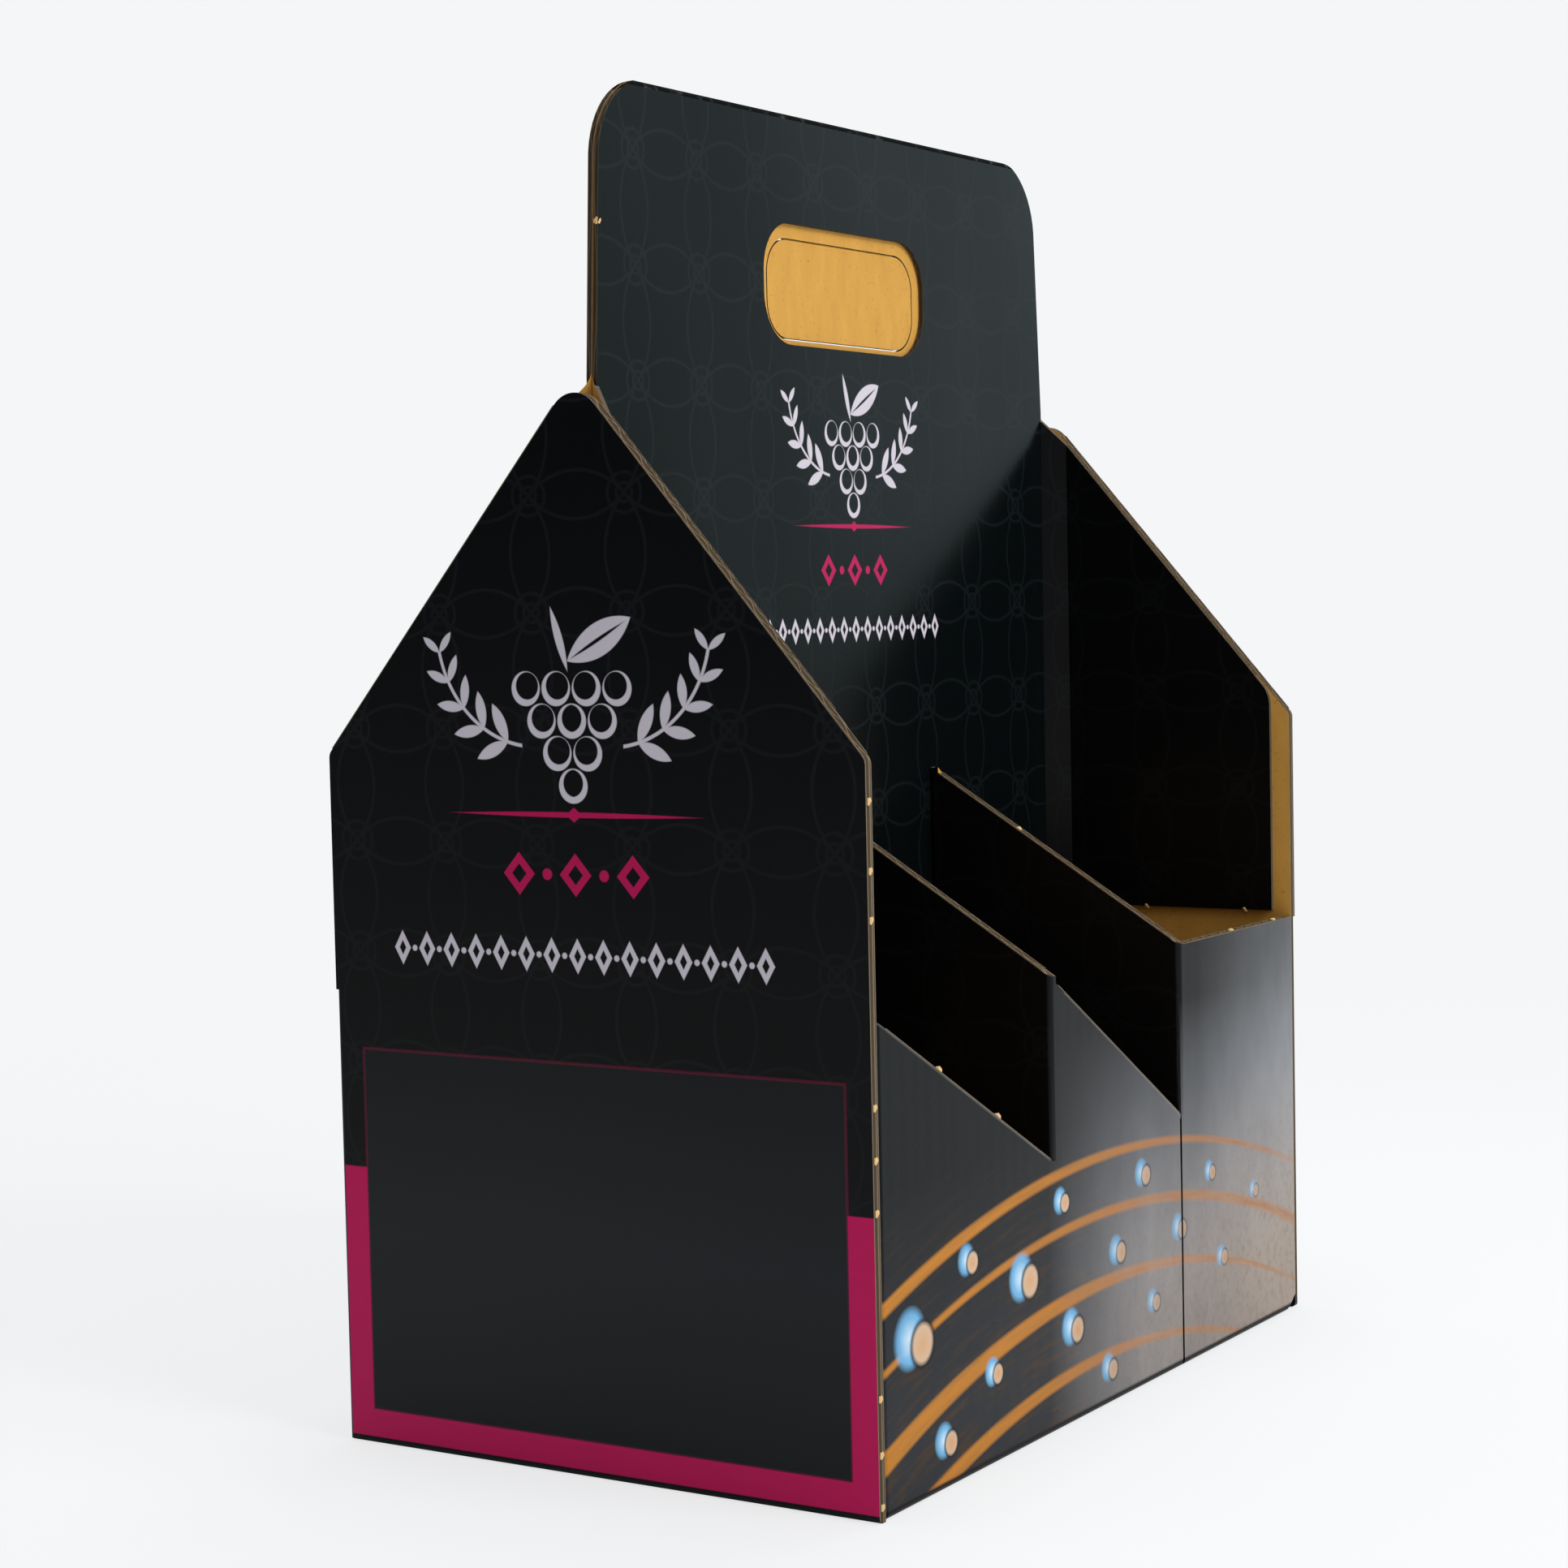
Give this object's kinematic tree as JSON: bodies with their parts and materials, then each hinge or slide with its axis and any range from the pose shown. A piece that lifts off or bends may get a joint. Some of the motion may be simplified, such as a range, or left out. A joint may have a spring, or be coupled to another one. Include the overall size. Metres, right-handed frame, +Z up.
{
  "type": "wine bottle carrier",
  "caption": "Folded corrugated wine bottle carrier with gabled end panels, stepped side walls, straps that part the cells and a central handle with a flapped hand hole.",
  "frame": {"origin": "centre of the carrier's footprint, on the floor", "axes": "+Z up, Y along the length and the handle with the near end panel at -Y, +X to the right wall"},
  "size_m": [0.168, 0.264, 0.363],
  "materials": {
    "printed_board": "satin",
    "printed_insert": "satin",
    "kraft_board": "matte"
  },
  "bodies": {
    "carrier": {"body_half_right": "printed_board", "body_half_left": "printed_board", "handle_insert": "printed_insert"},
    "flap": {"hand_hole_flap": "kraft_board"}
  },
  "joints": [
    {"name": "flap_crease", "type": "hinge", "parent": "carrier", "child": "flap", "pos_m": [-0.00015, 0.0026, 0.328], "axis": [0, -1, 0], "range_deg": [0, 145]}
  ]
}
